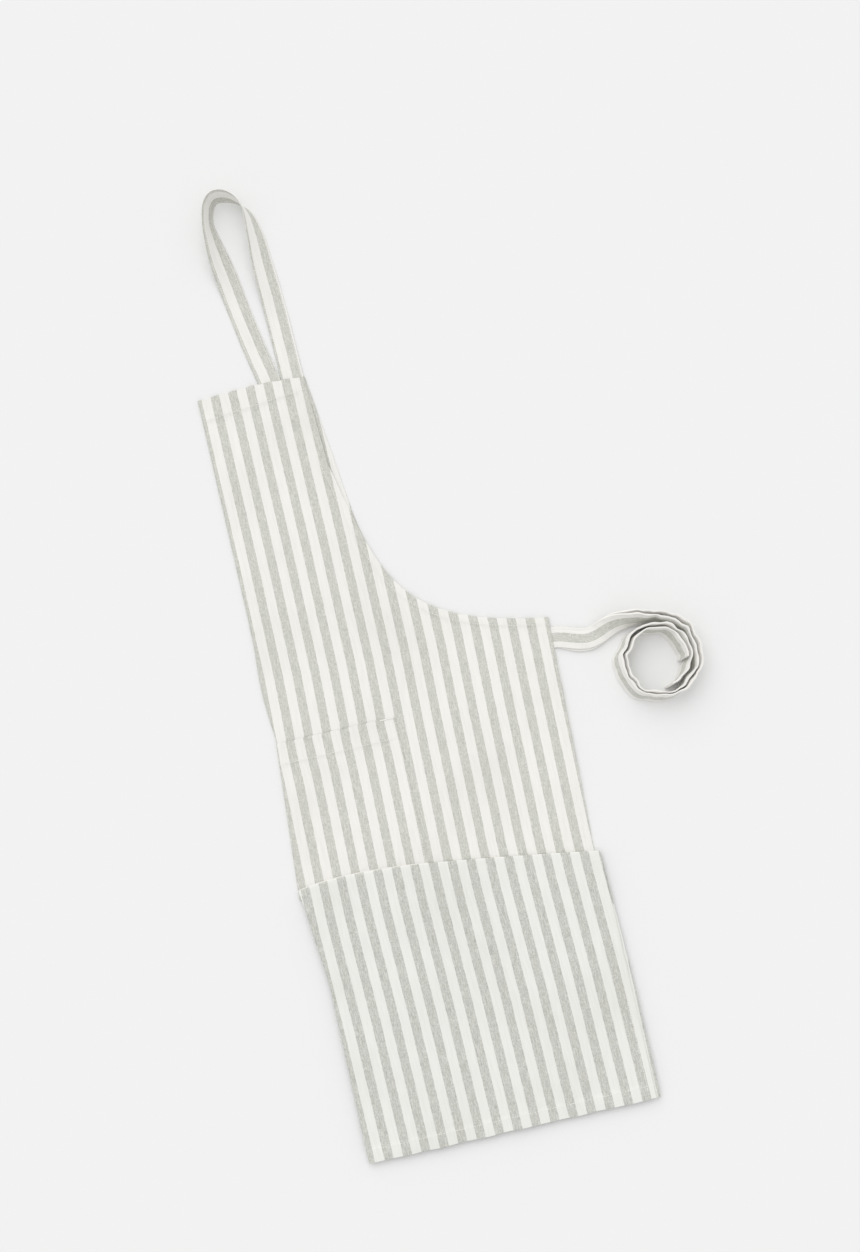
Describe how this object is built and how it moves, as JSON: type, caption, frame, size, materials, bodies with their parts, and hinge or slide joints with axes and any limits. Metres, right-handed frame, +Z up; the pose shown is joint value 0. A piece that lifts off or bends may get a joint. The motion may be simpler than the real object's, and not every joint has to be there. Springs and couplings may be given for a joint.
{
  "type": "folded bib apron",
  "caption": "Striped cotton bib apron lying folded in half with a pleat across the skirt, a patch pocket, a neck loop and rolled waist ties.",
  "frame": {"origin": "middle of the folded waist, on the surface that the apron lies on", "axes": "+X from the centre fold to the open side, +Y from the hem to the bib and the neck loop, +Z up"},
  "size_m": [0.5309, 1.1758, 0.0272],
  "materials": {
    "striped_cotton": "matte",
    "striped_tape": "matte",
    "sewing_thread": "matte"
  },
  "bodies": {
    "upper_apron": {"upper_panel": "striped_cotton", "pocket": "striped_cotton", "strap_ends": "striped_tape", "front_tie_end": "striped_tape", "rear_tie_end": "striped_tape", "top_hem_stitching": "sewing_thread", "armhole_stitching": "sewing_thread", "upper_side_stitching": "sewing_thread", "pocket_hem_stitching": "sewing_thread", "pocket_edge_stitching": "sewing_thread", "pocket_bar_tack": "sewing_thread"},
    "pleat": {"pleat_panel": "striped_cotton", "pleat_pocket": "striped_cotton"},
    "lower_skirt": {"lower_panel": "striped_cotton", "lower_side_stitching": "sewing_thread", "bottom_hem_stitching": "sewing_thread"},
    "neck_loop": {"neck_strap": "striped_tape", "strap_edge_stitching": "sewing_thread"},
    "waist_ties": {"front_waist_tie": "striped_tape", "rear_waist_tie": "striped_tape", "tie_edge_stitching": "sewing_thread"}
  },
  "joints": [
    {"name": "skirt_unfold", "type": "hinge", "parent": "upper_apron", "child": "pleat", "pos_m": [-0.1755, -0.2636, 0.0022], "axis": [0.9959, -0.0906, 0], "range_deg": [0, 180]},
    {"name": "crest_unfold", "type": "hinge", "parent": "pleat", "child": "lower_skirt", "pos_m": [-0.1755, -0.2395, 0.0046], "axis": [0.9959, -0.0906, 0], "range_deg": [-180, 0]},
    {"name": "loop_swing", "type": "hinge", "parent": "upper_apron", "child": "neck_loop", "pos_m": [-0.07, 0.3485, 0.0019], "axis": [1, 0, 0], "range_deg": [0, 170]},
    {"name": "ties_swing", "type": "hinge", "parent": "upper_apron", "child": "waist_ties", "pos_m": [0.1762, -0.0255, 0.0019], "axis": [0, -1, 0], "range_deg": [0, 150]}
  ],
  "couplings": [
    {"joint": "crest_unfold", "follows": "skirt_unfold", "ratio": -1}
  ]
}
